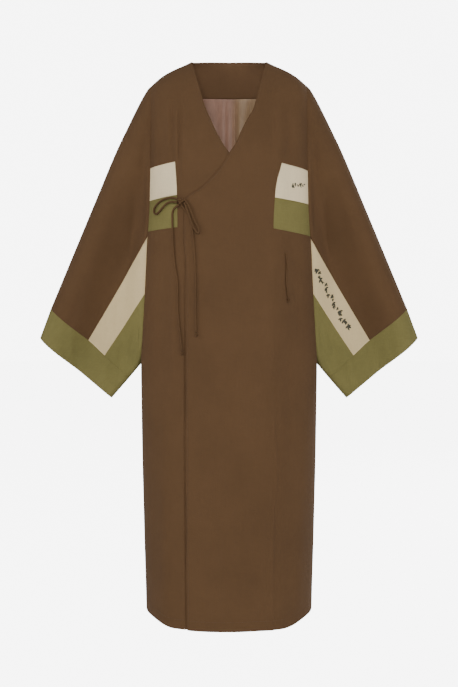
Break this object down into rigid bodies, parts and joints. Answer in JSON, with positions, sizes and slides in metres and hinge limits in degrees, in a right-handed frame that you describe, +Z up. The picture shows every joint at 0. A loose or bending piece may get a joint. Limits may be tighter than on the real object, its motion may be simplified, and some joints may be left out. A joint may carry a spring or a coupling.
{
  "type": "wrap kaftan",
  "caption": "Long wrap kaftan in worn, hollow form, with wide sleeves, pale and olive insets, olive cuff bands and a side tie.",
  "frame": {"origin": "midway between the shoulders, halfway down the shoulder slope, where a wearer carries it", "axes": "+X to the wearer's left, +Y to the back, +Z up; the front faces -Y"},
  "size_m": [0.91, 0.3194, 1.3265],
  "materials": {
    "brown": "matte plain weave",
    "linen": "matte linen",
    "olive": "matte linen",
    "lining": "soft lining",
    "tie": "matte cord"
  },
  "bodies": {
    "root": {"front_right_under": "brown", "front_left_over": "brown", "chest_linen_right": "linen", "chest_olive_right": "olive", "chest_linen_left": "linen", "chest_olive_left": "olive", "back_panel": "brown", "sleeve_gusset_right": "olive", "sleeve_strip_right": "linen", "sleeve_main_right": "brown", "cuff_band_right": "olive", "sleeve_gusset_left": "olive", "sleeve_strip_left": "linen", "sleeve_main_left": "brown", "cuff_band_left": "olive", "back_facing": "brown", "back_lining": "lining", "tie_knot": "tie", "tie_loop_side": "tie", "tie_loop_centre": "tie", "tie_tail_side": "tie", "tie_tail_centre": "tie", "side_string": "tie", "tail_side_knot": "tie", "tail_centre_knot": "tie", "side_string_knot": "tie"}
  },
  "joints": []
}
